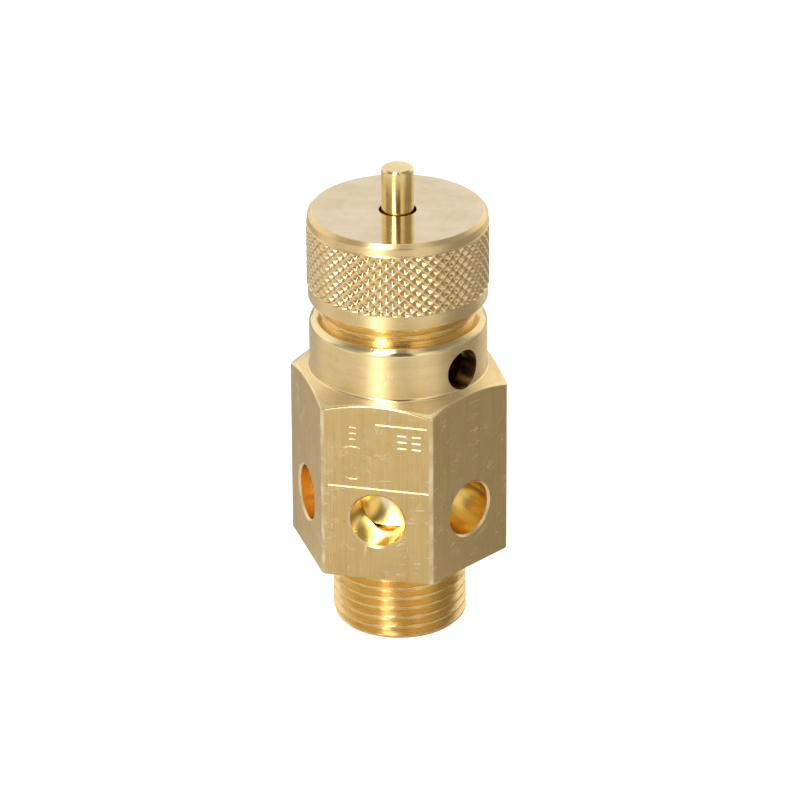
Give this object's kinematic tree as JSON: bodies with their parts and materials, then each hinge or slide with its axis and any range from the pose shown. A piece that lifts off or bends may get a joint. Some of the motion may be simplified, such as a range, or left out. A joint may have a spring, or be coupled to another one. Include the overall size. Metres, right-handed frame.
{
  "type": "pressure relief valve",
  "caption": "Brass relief valve with a male inlet thread, a hexagonal body with radial discharge ports, a vented barrel, and a knurled cap that lifts the stem off its seat when unscrewed.",
  "frame": {"origin": "centre of the inlet thread's lower end, which is the bottom centre of the object's box", "axes": "+Z along the valve's axis from the inlet to the stem's end; -Y is the outward normal of one hexagon flat"},
  "size_m": [0.0274, 0.024, 0.0609],
  "materials": {
    "body_brass": "machined from drawn bar, satin, with fine drawing lines and turning marks",
    "cap_brass": "turned and knurled, satin to bright",
    "bright_brass": "fine turned, bright",
    "bronze": "plain bronze bush",
    "steel": "turned stainless steel",
    "spring_steel": "drawn spring wire",
    "seal_rubber": "moulded black seal rubber",
    "white_plastic": "low-friction plastic"
  },
  "bodies": {
    "valve": {"valve_body": "body_brass", "adjusting_screw": "bright_brass", "lock_ring": "bright_brass", "stem_bush": "bronze", "thrust_washer": "white_plastic", "upper_spring_plate": "steel", "main_spring": "spring_steel"},
    "lift_plate": {"lift_ring": "steel"},
    "cap": {"knurled_cap": "cap_brass", "cap_snap_ring": "spring_steel"},
    "stem_set": {"stem": "bright_brass", "shutter": "bright_brass", "guide_ring": "white_plastic", "seal_disc": "seal_rubber", "seal_washer": "steel", "seal_screw": "steel", "stem_pin": "steel", "stem_washer": "steel", "stem_clip": "spring_steel", "lower_spring_plate": "steel"}
  },
  "joints": [
    {"name": "cap_rise", "type": "slide", "parent": "valve", "child": "lift_plate", "axis": [0, 0, 1], "range_m": [0, 0.0015]},
    {"name": "cap_turn", "type": "hinge", "parent": "lift_plate", "child": "cap", "pos_m": [0, 0, 0.0445], "axis": [0, 0, 1], "range_deg": [0, 540]},
    {"name": "stem_lift", "type": "slide", "parent": "lift_plate", "child": "stem_set", "axis": [0, 0, 1], "range_m": [0, 0.0015], "stiffness_N_per_m": 1500, "deforming": ["main_spring"]}
  ],
  "couplings": [
    {"joint": "cap_turn", "follows": "cap_rise", "rad_per_m": 6283.2}
  ]
}
